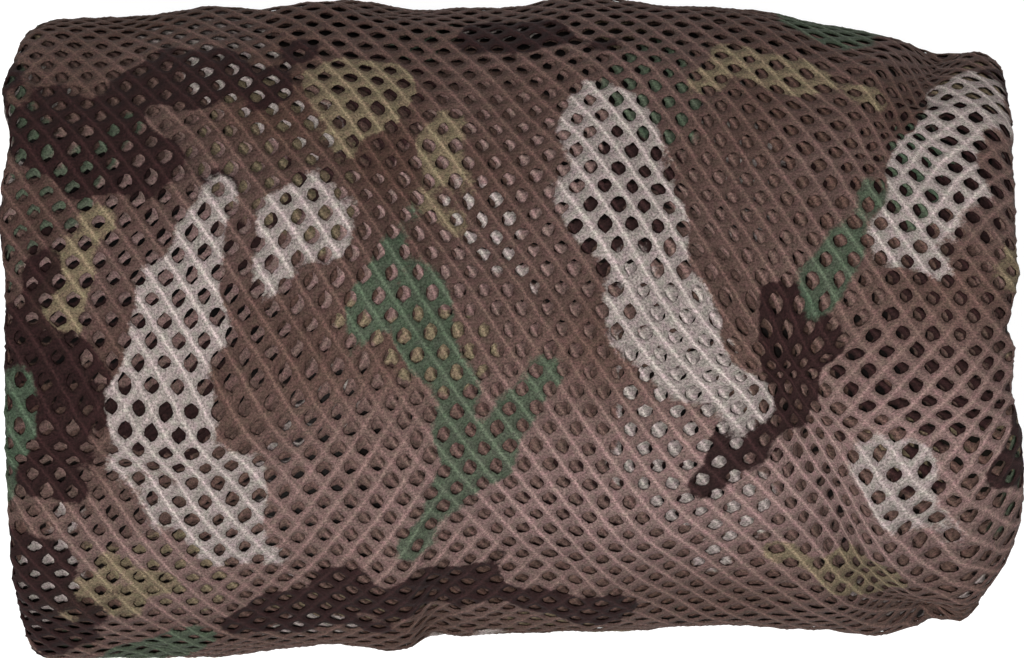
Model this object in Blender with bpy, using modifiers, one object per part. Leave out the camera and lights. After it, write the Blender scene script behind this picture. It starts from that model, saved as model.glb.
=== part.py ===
"""A rolled camouflage net: one piece of mesh cloth folded into a long band of sixteen plies and rolled up.

The band is one solid. Its middle surface is a grid wound into a spiral, the Solidify modifier gives it the
thickness of its plies, and the roll is then settled: pulled to its uneven outline, creased and flattened
where it rests. The roll lies along X on the plane z = 0. Units are metres, angles are degrees, and an
angle round the roll is 0 at the back (+Y), 90 on top and 180 at the front.
"""

import math

import bmesh
import bpy

# The band: sixteen plies of net pressed together, as wide as the roll is long.
BAND_THICKNESS = 0.0080
TURN_GAP = 0.0007
TURNS = 7.25
TURN_PITCH = BAND_THICKNESS + TURN_GAP

# The roll: its outer face at the loose end, and where that end lies, low at the back.
END_RADIUS = 0.0644
END_ANGLE = -40.0
AXIS_HEIGHT = 0.0505
LOWER_SQUASH = 0.93

# The grid: how many steps go round a turn, up to this many turns in, and the columns along the roll.
STEPS = (
    (1.0, 36),
    (4.0, 18),
    (TURNS, 12),
)
COLUMNS = (
    -0.1000, -0.0975, -0.0920, -0.0760, -0.0580, -0.0420, -0.0280, -0.0150, -0.0020, 0.0120,
    0.0260, 0.0400, 0.0520, 0.0620, 0.0710, 0.0790, 0.0860, 0.0895, 0.0925, 0.0970, 0.1000,
)
HALF_LENGTH = 0.1000

# How full the band is near its folded long edges and near its loose end: distance in, share of thickness.
EDGE_FULLNESS = ((0.0, 0.38), (0.0025, 0.86), (0.0070, 1.0))
END_FULLNESS = ((0.0, 0.35), (0.006, 0.62), (0.030, 1.0))
# The band thins towards its inner end, where its plies stop one after the other. Turns from it, share.
CORE_FULLNESS = ((0.0, 0.12), (0.4, 0.42), (0.7, 0.70), (1.1, 1.0))
# The inner turns lie off the roll's axis, least near the skin. Place along X, shift in Y and in Z.
CORE_REACH = 0.042
CORE_WANDER = (
    (-0.1000, 0.0004, 0.0008),
    (-0.0500, 0.0042, -0.0016),
    (0.0000, 0.0000, 0.0022),
    (0.0500, -0.0042, -0.0010),
    (0.1000, -0.0004, 0.0008),
)

# Silhouette seen from above: place along X, back edge and front edge in Y.
OUTLINE = (
    (-0.1000, 0.0608, -0.0643),
    (-0.0830, 0.0606, -0.0649),
    (-0.0750, 0.0608, -0.0648),
    (-0.0680, 0.0621, -0.0647),
    (-0.0590, 0.0636, -0.0649),
    (-0.0500, 0.0633, -0.0636),
    (-0.0430, 0.0641, -0.0625),
    (-0.0350, 0.0649, -0.0622),
    (-0.0300, 0.0645, -0.0628),
    (-0.0200, 0.0634, -0.0635),
    (-0.0155, 0.0630, -0.0614),
    (0.0000, 0.0630, -0.0597),
    (0.0100, 0.0644, -0.0597),
    (0.0170, 0.0650, -0.0604),
    (0.0350, 0.0636, -0.0587),
    (0.0500, 0.0622, -0.0585),
    (0.0610, 0.0597, -0.0594),
    (0.0700, 0.0583, -0.0603),
    (0.0780, 0.0569, -0.0590),
    (0.0835, 0.0550, -0.0567),
    (0.0890, 0.0548, -0.0568),
    (0.0940, 0.0541, -0.0545),
    (0.1000, 0.0524, -0.0510),
)

# Where the band's long edges end, against turns counted from the loose end: left edge and right edge in X.
EDGES = (
    (0.00, -0.0940, 0.0966),
    (0.11, -0.0938, 0.0968),
    (0.18, -0.0972, 0.0979),
    (0.217, -0.0995, 0.0988),
    (0.24, -0.0981, 0.0984),
    (0.26, -0.0981, 0.0988),
    (0.28, -0.0993, 0.0989),
    (0.31, -0.0999, 0.0991),
    (0.325, -0.0988, 0.0996),
    (0.345, -0.0985, 0.0984),
    (0.36, -0.0986, 0.0975),
    (0.375, -0.0986, 0.0987),
    (0.40, -0.0986, 0.0982),
    (0.425, -0.0985, 0.0998),
    (0.455, -0.0982, 0.1006),
    (0.48, -0.0978, 0.1007),
    (0.505, -0.0973, 0.1002),
    (0.53, -0.0965, 0.0984),
    (0.555, -0.0956, 0.0952),
    (0.575, -0.0948, 0.0932),
    (0.61, -0.0938, 0.0924),
    (0.80, -0.0962, 0.0958),
    (1.10, -0.0962, 0.0954),
    (1.22, -0.0980, 0.0962),
    (1.28, -0.0994, 0.0966),
    (1.31, -0.0998, 0.0968),
    (1.34, -0.0984, 0.0966),
    (1.50, -0.0968, 0.0954),
    (1.62, -0.0942, 0.0930),
    (2.20, -0.0972, 0.0960),
    (3.00, -0.0958, 0.0946),
    (4.00, -0.0968, 0.0956),
    (5.00, -0.0950, 0.0940),
    (7.25, -0.0956, 0.0926),
)

# Creases and swells of the outer face: X and angle of both ends, height (negative is a dent), half width.
FOLDS = (
    (0.0540, 100.0, 0.0630, 123.0, -0.0016, 0.0060),
    (0.0630, 123.0, 0.0700, 146.0, -0.0030, 0.0055),
    (0.0700, 146.0, 0.0815, 176.0, -0.0040, 0.0050),
    (0.0480, 112.0, 0.0620, 150.0, 0.0014, 0.0080),
    (0.0850, 0.0, 0.0790, 34.0, -0.0036, 0.0050),
    (0.0790, 34.0, 0.0700, 52.0, -0.0016, 0.0060),
    (0.0900, 40.0, 0.0910, 150.0, 0.0014, 0.0080),
    (-0.0160, 178.0, -0.0130, 146.0, -0.0018, 0.0040),
    (0.0316, 65.0, 0.0509, 82.0, -0.0013, 0.0080),
    (-0.0236, 62.0, -0.0029, 77.0, -0.0012, 0.0080),
    (0.0094, 118.0, 0.0200, 122.0, 0.0014, 0.0180),
    (-0.0600, 225.0, -0.0200, 205.0, -0.0016, 0.0070),
    (0.0300, 222.0, 0.0600, 205.0, -0.0020, 0.0070),
    (-0.0700, -12.0, -0.0250, 6.0, -0.0014, 0.0070),
    (0.0100, -8.0, 0.0400, -24.0, -0.0018, 0.0070),
)

# The right end is drawn in more than the left: where the rounding starts, and how much the radius loses.
END_ROUND_FROM = 0.0880
END_ROUND_LOSS = 0.10

NET_COLOUR = (0.105, 0.075, 0.064, 1.0)
NET_ROUGHNESS = 0.85


def between(table, at, column):
    """The value in a column of a table whose first column rises, smoothly between its rows."""
    rows = [(row[0], row[column]) for row in table]
    if at <= rows[0][0]:
        return rows[0][1]
    if at >= rows[-1][0]:
        return rows[-1][1]
    upper = next(i for i, row in enumerate(rows) if row[0] > at)
    (x0, y0), (x1, y1) = rows[upper - 1], rows[upper]

    def slope(i):
        before, after = rows[max(i - 1, 0)], rows[min(i + 1, len(rows) - 1)]
        return (after[1] - before[1]) / (after[0] - before[0])

    step = x1 - x0
    t = (at - x0) / step
    rise = slope(upper - 1) * step * t * (1 - t) ** 2 - slope(upper) * step * t * t * (1 - t)
    return y0 + (y1 - y0) * t * t * (3 - 2 * t) + rise


def turns_at(angle):
    """How many turns in from the loose end the outermost turn is at this angle: 0 to 1."""
    return ((angle - END_ANGLE) % 360.0) / 360.0


def stations():
    """Places along the band, in turns from the loose end: finer steps on the outermost turn."""
    places = [0.0]
    for end, steps in STEPS:
        start = places[-1]
        count = round((end - start) * steps)
        places += [start + (end - start) * (i + 1) / count for i in range(count)]
    return places


def fullness(turns, x, left, right):
    """The band's thickness here as a share of its full thickness."""
    from_edge = min(x - left, right - x)
    from_end = turns * 2 * math.pi * END_RADIUS
    along = between(END_FULLNESS, from_end, 1) * between(CORE_FULLNESS, TURNS - turns, 1)
    return between(EDGE_FULLNESS, from_edge, 1) * along


def wound_point(turns, column):
    """Middle surface of the wound band and its fullness, for a place along it and a column across it."""
    left, right = between(EDGES, turns, 1), between(EDGES, turns, 2)
    near_end = max(0.0, abs(column) / HALF_LENGTH * 4 - 3)
    edge = right if column > 0 else left
    x = column + (edge - math.copysign(HALF_LENGTH, column)) * near_end
    full = fullness(turns, x, left, right)
    end_share = between(END_FULLNESS, turns * 2 * math.pi * END_RADIUS, 1)
    core_share = between(CORE_FULLNESS, TURNS - turns, 1)
    inner_face = END_RADIUS - BAND_THICKNESS - turns * TURN_PITCH
    radius = inner_face + BAND_THICKNESS * (end_share + 1.0 - core_share) / 2
    angle = math.radians(END_ANGLE + turns * 360.0)
    return (x, radius * math.cos(angle), radius * math.sin(angle)), full


def fold_height(x, angle):
    """How far the creases and swells raise the outer face at this place. Where two dents or two swells
    overlap, the larger one counts for most, so that they don't add up to a pit or a peak."""
    raised, sunk = 0.0, 0.0
    for x0, angle0, x1, angle1, rise, width in FOLDS:
        arc = math.radians((angle - angle0 + 180.0) % 360.0 - 180.0) * END_RADIUS
        along_x, along_arc = x1 - x0, math.radians(angle1 - angle0) * END_RADIUS
        length2 = along_x**2 + along_arc**2
        t = min(1.0, max(0.0, ((x - x0) * along_x + arc * along_arc) / length2))
        away2 = (x - x0 - t * along_x) ** 2 + (arc - t * along_arc) ** 2
        here = (abs(rise) * math.exp(-away2 / width**2)) ** 3
        if rise > 0:
            raised += here
        else:
            sunk += here
    return raised ** (1 / 3) - sunk ** (1 / 3)


def settled(x, y, z):
    """Where a point of the evenly wound roll, centred on its axis, comes to lie."""
    radius, angle = math.hypot(y, z), math.degrees(math.atan2(z, y))
    face = END_RADIUS - turns_at(angle) * TURN_PITCH
    outwards = min(1.0, max(0.0, 1.0 - (face - radius) / BAND_THICKNESS))
    drawn = min(1.0, max(0.0, (x - END_ROUND_FROM) / (HALF_LENGTH - END_ROUND_FROM)))
    end_share = 1.0 - END_ROUND_LOSS * (1.0 - math.sqrt(1.0 - drawn**2))
    moved = (radius + fold_height(x, angle) * outwards) / radius * end_share
    back_face = END_RADIUS - turns_at(0.0) * TURN_PITCH
    front_face = END_RADIUS - turns_at(180.0) * TURN_PITCH
    to_back = between(OUTLINE, x, 1) / back_face
    to_front = -between(OUTLINE, x, 2) / front_face
    share = 0.5 + 0.5 * math.sin(math.radians(90.0) * max(-1.0, min(1.0, y / front_face)))
    wide = to_front + (to_back - to_front) * share
    tall = (to_back + to_front) / 2
    low = LOWER_SQUASH if z < 0 else 1.0
    core = max(0.0, 1.0 - (radius / CORE_REACH) ** 2) ** 2
    across = y * moved * wide + between(CORE_WANDER, x, 1) * core
    height = AXIS_HEIGHT + z * moved * tall * low + between(CORE_WANDER, x, 2) * core
    return x, across, max(0.0, height)


def clear_scene():
    for old in list(bpy.data.objects):
        bpy.data.objects.remove(old, do_unlink=True)


def cloth_material():
    material = bpy.data.materials.new("camouflage_mesh_cloth")
    material.use_nodes = True
    shader = material.node_tree.nodes["Principled BSDF"]
    shader.inputs["Base Color"].default_value = NET_COLOUR
    shader.inputs["Roughness"].default_value = NET_ROUGHNESS
    shader.inputs["Metallic"].default_value = 0.0
    return material


def wound_band():
    """The band's middle surface, wound up, with a vertex group that says how full it is."""
    places = stations()
    shape = bmesh.new()
    bmesh.ops.create_grid(shape, x_segments=len(places) - 1, y_segments=len(COLUMNS) - 1, size=1.0)
    weights = []
    for vertex in shape.verts:
        station = round((vertex.co.x + 1) / 2 * (len(places) - 1))
        column = round((vertex.co.y + 1) / 2 * (len(COLUMNS) - 1))
        vertex.co, full = wound_point(places[station], COLUMNS[column])
        weights.append(full)
    mesh = bpy.data.meshes.new("wound_band")
    shape.to_mesh(mesh)
    shape.free()
    band = bpy.data.objects.new("wound_band", mesh)
    group = band.vertex_groups.new(name="fullness")
    for index, full in enumerate(weights):
        group.add([index], full, "REPLACE")
    plies = band.modifiers.new("plies", "SOLIDIFY")
    plies.thickness = BAND_THICKNESS
    plies.offset = 0.0
    plies.vertex_group = group.name
    return band


def rolled_net(collection):
    """The whole roll as one closed solid, settled on the plane z = 0 and centred on the origin."""
    band = wound_band()
    collection.objects.link(band)
    graph = bpy.context.evaluated_depsgraph_get()
    mesh = bpy.data.meshes.new_from_object(band.evaluated_get(graph))
    bpy.data.objects.remove(band, do_unlink=True)
    for vertex in mesh.vertices:
        vertex.co = settled(*vertex.co)
    centre = [(min(side) + max(side)) / 2 for side in zip(*(v.co.xy for v in mesh.vertices))]
    for vertex in mesh.vertices:
        vertex.co.x -= centre[0]
        vertex.co.y -= centre[1]
    shape = bmesh.new()
    shape.from_mesh(mesh)
    bmesh.ops.recalc_face_normals(shape, faces=shape.faces)
    shape.to_mesh(mesh)
    shape.free()
    mesh.shade_smooth()
    mesh.materials.clear()
    mesh.materials.append(cloth_material())
    mesh.name = "net"
    net = bpy.data.objects.new("net", mesh)
    collection.objects.link(net)
    return net


def main():
    clear_scene()
    collection = bpy.data.collections.new("rolled_camouflage_net")
    bpy.context.scene.collection.children.link(collection)
    rolled_net(collection)


main()
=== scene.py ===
"""The looks of the rolled camouflage net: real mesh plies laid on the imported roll's own spiral.

Units are metres, angles are degrees. An angle round the roll is 0 at the back (+Y), 90 on top and 180 at
the front. "turns" counts round the spiral from the loose end, and "drop" is how far something lies under
the band's outer face.
"""
import math

import bpy
import numpy as np
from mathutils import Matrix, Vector


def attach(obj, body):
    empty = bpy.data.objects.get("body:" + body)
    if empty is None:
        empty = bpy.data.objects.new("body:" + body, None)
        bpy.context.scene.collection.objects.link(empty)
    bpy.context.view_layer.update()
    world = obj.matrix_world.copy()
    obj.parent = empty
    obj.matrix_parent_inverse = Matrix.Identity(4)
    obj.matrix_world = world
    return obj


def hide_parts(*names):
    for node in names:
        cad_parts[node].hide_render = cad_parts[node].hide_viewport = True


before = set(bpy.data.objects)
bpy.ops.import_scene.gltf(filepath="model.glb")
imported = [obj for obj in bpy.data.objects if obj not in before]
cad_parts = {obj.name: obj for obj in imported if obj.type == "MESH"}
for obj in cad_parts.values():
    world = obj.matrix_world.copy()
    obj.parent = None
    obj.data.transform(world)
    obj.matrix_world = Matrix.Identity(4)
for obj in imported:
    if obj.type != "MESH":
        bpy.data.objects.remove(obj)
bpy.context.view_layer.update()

# ---------------------------------------------------------------- the roll, as in the part's source
BAND_THICKNESS = 0.0080
TURN_GAP = 0.0007
TURNS = 7.25
TURN_PITCH = BAND_THICKNESS + TURN_GAP
END_RADIUS = 0.0644
END_ANGLE = -40.0
AXIS_HEIGHT = 0.0505
LOWER_SQUASH = 0.93
HALF_LENGTH = 0.1000
CENTRE_X = 0.000407
CENTRE_Y = -0.000206
# How full the band is near its loose end: distance in, share of thickness.
END_FULLNESS = ((0.0, 0.35), (0.006, 0.62), (0.030, 1.0))
# The band thins towards its inner end: turns from it, share of thickness.
CORE_FULLNESS = ((0.0, 0.12), (0.4, 0.42), (0.7, 0.70), (1.1, 1.0))
LEAST_EDGE_SHARE = 0.35     # of their height that the folded edges keep where the band is thin
# The inner turns lie off the roll's axis, least near the skin: X, shift in Y and in Z.
CORE_REACH = 0.042
CORE_WANDER = (
    (-0.1000, 0.0004, 0.0008),
    (-0.0500, 0.0042, -0.0016),
    (0.0000, 0.0000, 0.0022),
    (0.0500, -0.0042, -0.0010),
    (0.1000, -0.0004, 0.0008),
)
# Outline seen from above: X, back edge and front edge in Y.
OUTLINE = (
    (-0.1000, 0.0608, -0.0643),
    (-0.0830, 0.0606, -0.0649),
    (-0.0750, 0.0608, -0.0648),
    (-0.0680, 0.0621, -0.0647),
    (-0.0590, 0.0636, -0.0649),
    (-0.0500, 0.0633, -0.0636),
    (-0.0430, 0.0641, -0.0625),
    (-0.0350, 0.0649, -0.0622),
    (-0.0300, 0.0645, -0.0628),
    (-0.0200, 0.0634, -0.0635),
    (-0.0155, 0.0630, -0.0614),
    (0.0000, 0.0630, -0.0597),
    (0.0100, 0.0644, -0.0597),
    (0.0170, 0.0650, -0.0604),
    (0.0350, 0.0636, -0.0587),
    (0.0500, 0.0622, -0.0585),
    (0.0610, 0.0597, -0.0594),
    (0.0700, 0.0583, -0.0603),
    (0.0780, 0.0569, -0.0590),
    (0.0835, 0.0550, -0.0567),
    (0.0890, 0.0548, -0.0568),
    (0.0940, 0.0541, -0.0545),
    (0.1000, 0.0524, -0.0510),
)
# Where the band's long edges end: turns from the loose end, left edge and right edge in X.
EDGES = (
    (0.00, -0.0940, 0.0966),
    (0.11, -0.0938, 0.0968),
    (0.18, -0.0972, 0.0979),
    (0.217, -0.0995, 0.0988),
    (0.24, -0.0981, 0.0984),
    (0.26, -0.0981, 0.0988),
    (0.28, -0.0993, 0.0989),
    (0.31, -0.0999, 0.0991),
    (0.325, -0.0988, 0.0996),
    (0.345, -0.0985, 0.0984),
    (0.36, -0.0986, 0.0975),
    (0.375, -0.0986, 0.0987),
    (0.40, -0.0986, 0.0982),
    (0.425, -0.0985, 0.0998),
    (0.455, -0.0982, 0.1006),
    (0.48, -0.0978, 0.1007),
    (0.505, -0.0973, 0.1002),
    (0.53, -0.0965, 0.0984),
    (0.555, -0.0956, 0.0952),
    (0.575, -0.0948, 0.0932),
    (0.61, -0.0938, 0.0924),
    (0.80, -0.0962, 0.0958),
    (1.10, -0.0962, 0.0954),
    (1.22, -0.0980, 0.0962),
    (1.28, -0.0994, 0.0966),
    (1.31, -0.0998, 0.0968),
    (1.34, -0.0984, 0.0966),
    (1.50, -0.0968, 0.0954),
    (1.62, -0.0942, 0.0930),
    (2.20, -0.0972, 0.0960),
    (3.00, -0.0958, 0.0946),
    (4.00, -0.0968, 0.0956),
    (5.00, -0.0950, 0.0940),
    (7.25, -0.0956, 0.0926),
)
# The right end is drawn in: where that starts, and how much the radius loses. The cloth's corners are
# squarer than the solid's, which loses 0.10.
END_ROUND_FROM = 0.0880
END_ROUND_LOSS = 0.055

# ---------------------------------------------------------------- creases and lie of the mesh
# Creases and swells: X and angle of both ends, height, half width, and how much the mesh is drawn in there.
FOLDS = (
    (0.0540, 100.0, 0.0630, 123.0, -0.0016, 0.0060, 0.40),
    (0.0630, 123.0, 0.0700, 146.0, -0.0030, 0.0055, 0.55),
    (0.0700, 146.0, 0.0815, 176.0, -0.0040, 0.0050, 0.60),
    (0.0480, 112.0, 0.0620, 150.0, 0.0014, 0.0080, 0.0),
    (0.0850, 0.0, 0.0790, 34.0, -0.0036, 0.0050, 0.60),
    (0.0790, 34.0, 0.0700, 52.0, -0.0016, 0.0060, 0.45),
    (0.0900, 40.0, 0.0910, 150.0, 0.0014, 0.0080, 0.0),
    (-0.0160, 178.0, -0.0130, 146.0, -0.0018, 0.0040, 0.20),
    (0.0316, 65.0, 0.0509, 82.0, -0.0013, 0.0080, 0.10),
    (-0.0236, 62.0, -0.0029, 77.0, -0.0012, 0.0080, 0.10),
    (0.0094, 118.0, 0.0200, 122.0, 0.0014, 0.0180, 0.0),
    (-0.0600, 225.0, -0.0200, 205.0, -0.0016, 0.0070, 0.1),
    (0.0300, 222.0, 0.0600, 205.0, -0.0020, 0.0070, 0.1),
    (-0.0700, -12.0, -0.0250, 6.0, -0.0014, 0.0070, 0.1),
    (0.0100, -8.0, 0.0400, -24.0, -0.0018, 0.0070, 0.1),
    # bunched mesh and finer creases, in the cloth alone
    (0.0535, 100.0, 0.0720, 156.0, -0.0002, 0.0098, 0.56),
    (0.0850, 4.0, 0.0755, 44.0, -0.0002, 0.0084, 0.60),
    (0.0860, 186.0, 0.0920, 183.0, 0.0011, 0.0068, 0.0),
    (0.0640, 104.0, 0.0740, 132.0, 0.0012, 0.0030, 0.0),
    (0.0545, 98.0, 0.0635, 123.0, -0.0014, 0.0028, 0.15),
    (0.0635, 123.0, 0.0700, 143.0, -0.0020, 0.0028, 0.20),
    (0.0330, 66.0, 0.0500, 84.0, -0.0010, 0.0030, 0.10),
    (0.0835, 24.0, 0.0775, 42.0, -0.0014, 0.0026, 0.15),
    (0.0470, 116.0, 0.0530, 124.0, -0.0008, 0.0045, 0.15),
    (0.0740, 20.0, 0.0690, 44.0, 0.0008, 0.0024, 0.0),
    (0.0870, 30.0, 0.0900, 52.0, -0.0007, 0.0030, 0.15),
    (0.0900, 152.0, 0.0960, 136.0, -0.0009, 0.0030, 0.15),
    (-0.0960, 150.0, -0.0700, 170.0, -0.0009, 0.0045, 0.1),
    (-0.0920, 60.0, -0.0600, 48.0, -0.0007, 0.0050, 0.1),
    (0.0950, 96.0, 0.1000, 92.0, -0.0016, 0.0040, 0.1),
)
# Soft unevenness of the cloth: height, waves a metre along X and along the arc, phase.
SWELLS = (
    (0.00028, 23.0, 11.0, 0.4),
    (0.00024, -14.0, 29.0, 2.1),
    (0.00018, 41.0, 17.0, 4.0),
    (0.00014, 9.0, 47.0, 1.2),
    (0.00010, 63.0, -35.0, 5.2),
)
# How far the rows of holes climb towards the back going right, in degrees: one row for each angle round
# the roll, one column for each X.
ROW_SLOPE_X = (-0.089, -0.071, -0.051, -0.032, -0.012, 0.0095, 0.029, 0.049, 0.068, 0.084, 0.093)
ROW_SLOPE_ANGLE = (0.0, 25.0, 44.0, 66.0, 90.0, 103.0, 114.0, 129.0, 144.0, 175.0)
ROW_SLOPE = (
    (0, 0, 0, 0, 0, 0, 0, 0, 0, 0, 0),
    (5, 2, 4, -4, 0, 7, -1, -4, -8, 12, -6),
    (9, 2, 8, -4, 0, 7.5, -1, -5, -8.5, 4, -6),
    (9, 2, 12, 1, 0, 6, -2, -4, -2, -5, -6),
    (-1, -3, 9, 7, 3, 0, -3, 0, 4, -6, 8),
    (-1, -6, 9, 13, 5, -1, -4, 4, 4, -5, 10),
    (-1, -6, 4, 8, 8, -1.5, -4, 10, 3, -3, 10),
    (-1, -2, 4, 5, 10, -1.5, -4, 11, -8, 3, 10),
    (-1, 0, 3, 2, 8, 0, -2, 6, -15, -6, 10),
    (0, 0, 0, 0, 0, 0, 0, 0, 0, 0, 0),
)

# ---------------------------------------------------------------- the mesh cloth
TURN_LENGTH = 0.396         # cloth in one turn of the outer ply
HOLE_STEP = 0.00517         # across the cloth, between the holes of one row
ROW_STEP = 0.0040           # along the cloth, between rows
HOLE_ACROSS = 0.00268       # a hole's size across the cloth and along it
HOLE_ALONG = 0.00322
PLY_DEPTH = 0.00050         # a ply, from its crests to its underside
RIDGE_RISE = 0.00022        # how much higher the bars are that slant one way
RIM_SINK = 0.00016          # how far a hole's rim lies under the crests
SECOND_PLY = 0.00054        # drop of the second ply's crests
INNER_FACE_DROP = 0.00112   # drop of the plies under it
# The rounded fold at each end: how far in it starts above and below, and its height.
EDGE_REACH = 0.0050
EDGE_UNDER = 0.0025
EDGE_HEIGHT = 0.0021
# The loose end's own rounded fold, and how much cloth is turned in there.
LIP_REACH = 0.0030
LIP_HEIGHT = 0.0014
LIP_LENGTH = 0.0080
DEEPEST_REST = 0.004        # plies deeper than this in the band rest no higher than it
THINNEST_RADIUS = 0.0001


def between(table, at, column):
    """A table's column at these places, by smooth curves through its rows, held level past both ends."""
    xs = np.array([row[0] for row in table])
    ys = np.array([row[column] for row in table])
    slopes = np.empty(len(xs))
    slopes[1:-1] = (ys[2:] - ys[:-2]) / (xs[2:] - xs[:-2])
    slopes[0] = (ys[1] - ys[0]) / (xs[1] - xs[0])
    slopes[-1] = (ys[-1] - ys[-2]) / (xs[-1] - xs[-2])
    at = np.clip(np.asarray(at, float), xs[0], xs[-1])
    i = np.clip(np.searchsorted(xs, at, side="right"), 1, len(xs) - 1)
    step = xs[i] - xs[i - 1]
    t = (at - xs[i - 1]) / step
    rise = slopes[i - 1] * step * t * (1 - t) ** 2 - slopes[i] * step * t * t * (1 - t)
    return ys[i - 1] + (ys[i] - ys[i - 1]) * t * t * (3 - 2 * t) + rise


def wrapped(angle):
    return (angle + 180.0) % 360.0 - 180.0


def away_from_folds(x, angle):
    """For each fold its height, width and pull, and how far off it these places lie, in X and in arc."""
    for x0, angle0, x1, angle1, rise, width, pull in FOLDS:
        arc = np.radians(wrapped(angle - angle0)) * END_RADIUS
        along_x, along_arc = x1 - x0, math.radians(angle1 - angle0) * END_RADIUS
        length2 = along_x**2 + along_arc**2
        t = np.clip(((x - x0) * along_x + arc * along_arc) / length2, 0.0, 1.0)
        yield rise, width, pull, x - x0 - t * along_x, arc - t * along_arc


def fold_height(x, angle):
    """How far the creases and swells raise the outer face."""
    raised, sunk = np.zeros((2, *np.broadcast(x, angle).shape))
    for rise, width, _, off_x, off_arc in away_from_folds(x, angle):
        here = (abs(rise) * np.exp(-(off_x**2 + off_arc**2) / width**2)) ** 3
        if rise > 0:
            raised += here
        else:
            sunk += here
    height = np.cbrt(raised) - np.cbrt(sunk)
    arc = np.radians(angle) * END_RADIUS
    for rise, waves_x, waves_arc, phase in SWELLS:
        height += rise * np.sin(2 * math.pi * (waves_x * x + waves_arc * arc) + phase)
    return height


def turns_at(angle):
    return ((angle - END_ANGLE) % 360.0) / 360.0


def settled(x, radius, angle, drop):
    """Where a point of the evenly wound roll comes to lie. Nothing goes lower than its own ply allows."""
    y, z = radius * np.cos(np.radians(angle)), radius * np.sin(np.radians(angle))
    face = END_RADIUS - turns_at(angle) * TURN_PITCH
    outwards = np.clip(1.0 - (face - radius) / BAND_THICKNESS, 0.0, 1.0)
    drawn = np.clip((x - END_ROUND_FROM) / (HALF_LENGTH - END_ROUND_FROM), 0.0, 1.0)
    end_share = 1.0 - END_ROUND_LOSS * (1.0 - np.sqrt(1.0 - drawn**2))
    moved = (radius + fold_height(x, angle) * outwards) / radius * end_share
    back_face = END_RADIUS - turns_at(0.0) * TURN_PITCH
    front_face = END_RADIUS - turns_at(180.0) * TURN_PITCH
    to_back = between(OUTLINE, x, 1) / back_face
    to_front = -between(OUTLINE, x, 2) / front_face
    share = 0.5 + 0.5 * np.sin(np.radians(90.0) * np.clip(y / front_face, -1.0, 1.0))
    wide = to_front + (to_back - to_front) * share
    tall = (to_back + to_front) / 2
    low = np.where(z < 0, LOWER_SQUASH, 1.0)
    core = np.maximum(0.0, 1.0 - (radius / CORE_REACH) ** 2) ** 2
    across = y * moved * wide + between(CORE_WANDER, x, 1) * core
    height = AXIS_HEIGHT + z * moved * tall * low + between(CORE_WANDER, x, 2) * core
    height = np.maximum(np.clip(drop, 0.0, DEEPEST_REST), height)
    return np.stack([x - CENTRE_X, across - CENTRE_Y, height], axis=1)


def end_share_at(turns):
    return between(END_FULLNESS, turns * 2 * math.pi * END_RADIUS, 1)


def core_share_at(turns):
    return between(CORE_FULLNESS, TURNS - turns, 1)


def laid(x, turns, drop):
    """A point under the band's outer face, at X on the even roll."""
    radius = END_RADIUS - BAND_THICKNESS * (1.0 - end_share_at(turns)) - turns * TURN_PITCH - drop
    return settled(x, np.maximum(radius, THINNEST_RADIUS), END_ANGLE + 360.0 * turns, drop)


# ---------------------------------------------------------------- rounded folds of the cloth
def ellipse_table(across, high, steps=60):
    """Arc length against angle round a quarter ellipse that starts tangent to the face."""
    a = np.linspace(0.0, math.pi / 2, steps)
    x, d = across * np.sin(a), high * (1.0 - np.cos(a))
    arc = np.concatenate([[0.0], np.cumsum(np.hypot(np.diff(x), np.diff(d)))])
    return a, arc


def rounded(over, reach, under, high, drop):
    """How far out and how far down a ply lies, this far along the cloth past where its fold starts."""
    a, arc = ellipse_table(reach, high)
    b, arc_under = ellipse_table(under, high)
    under_arc = arc_under[-1] - arc_under[::-1]
    first = np.interp(over, arc, a)
    rest = over - arc[-1]
    second = math.pi / 2 + np.interp(rest, under_arc, b)
    inwards = np.maximum(0.0, rest - under_arc[-1])
    angle = np.where(rest > 0, second, first)
    out = np.where(
        rest > 0,
        (reach - drop) - (under - drop) * (1.0 - np.sin(angle)) - inwards,
        (reach - drop) * np.sin(angle),
    )
    down = (high - drop) * (1.0 - np.cos(angle))
    return np.where(over > 0, out, over), np.where(over > 0, down, 0.0)


def skin(across, along, drop):
    """Where a point of the outer plies lies: across the cloth from its middle, along it from the lip."""
    lip_over = LIP_REACH - along
    out, down = rounded(lip_over, LIP_REACH, LIP_REACH, LIP_HEIGHT, drop)
    turns = np.where(lip_over > 0, LIP_REACH - out, along) / TURN_LENGTH
    right = across > 0
    edge = np.where(right, between(EDGES, turns, 2), -between(EDGES, turns, 1))
    start = edge - EDGE_REACH
    share = np.clip(end_share_at(turns), LEAST_EDGE_SHARE, 1.0)
    side_out, side_down = rounded(np.abs(across) - start, EDGE_REACH, EDGE_UNDER, EDGE_HEIGHT, drop)
    x = np.copysign(start + side_out, across)
    return laid(x, turns, drop + down + side_down * share)


# ---------------------------------------------------------------- the lattice of holes
CORNER_HIGH = (HOLE_STEP**2 / 4 + ROW_STEP**2) / (2 * ROW_STEP)
CORNER_LOW = ROW_STEP - CORNER_HIGH
CORNERS = ((1, 1), (0, 2), (-1, 1), (-1, -1), (0, -2), (1, -1))
KEY_BASE = 100000
RIM_ANGLES = np.radians([24.0, 57.0, 90.0, 123.0, 156.0, 180.0, 204.0, 237.0, 270.0, 303.0, 336.0, 360.0])
RIM_POINTS = len(RIM_ANGLES)
SIZE_SPREAD = 0.08
LEAN_SPREAD = 7.0
RIM_SPREAD = 0.055
RIM_SQUARENESS = 0.055
RIM_WAVINESS = -0.02
PLACE_SPREAD = 0.00009
CREST_SPREAD = 0.00004


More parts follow.
